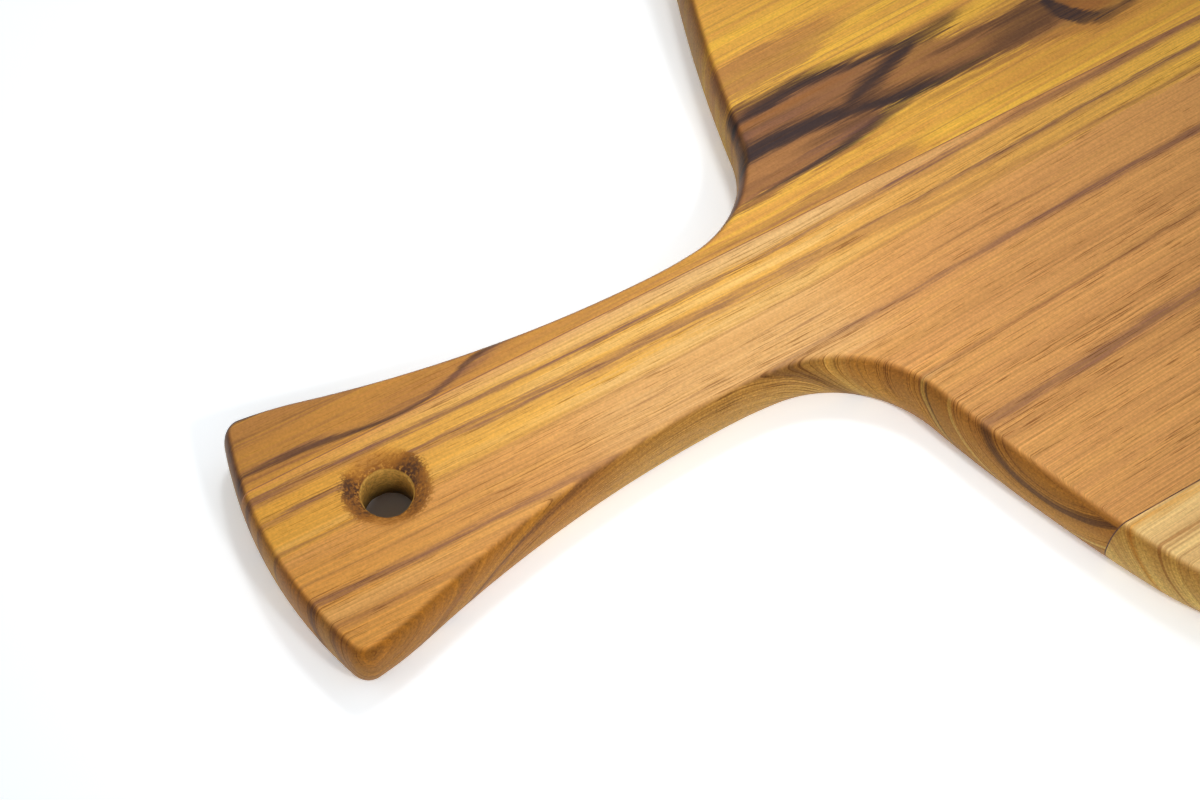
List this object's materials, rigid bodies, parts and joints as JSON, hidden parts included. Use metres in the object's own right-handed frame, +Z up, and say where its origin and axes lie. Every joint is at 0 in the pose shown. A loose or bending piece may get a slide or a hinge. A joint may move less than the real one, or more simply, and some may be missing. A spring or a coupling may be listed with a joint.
{
  "type": "serving board",
  "caption": "Paddle-shaped wooden serving board of edge-glued staves, with a flared handle, a countersunk hanging hole and crowned edges.",
  "frame": {"origin": "on the underside, below the middle of the board's bounding box", "axes": "+X along the board from the handle to the far end, +Y across it, +Z up from the underside to the serving face"},
  "size_m": [0.53, 0.32, 0.018],
  "materials": {
    "teak_upper": "oiled teak with dark streaks, satin",
    "teak_centre": "oiled straight-grained teak, satin",
    "teak_lower": "oiled pale teak, satin",
    "glue": "cured brown wood glue"
  },
  "bodies": {
    "root": {"upper_stave": "teak_upper", "centre_stave": "teak_centre", "lower_stave": "teak_lower", "upper_glue_line": "glue", "lower_glue_line": "glue"}
  },
  "joints": []
}
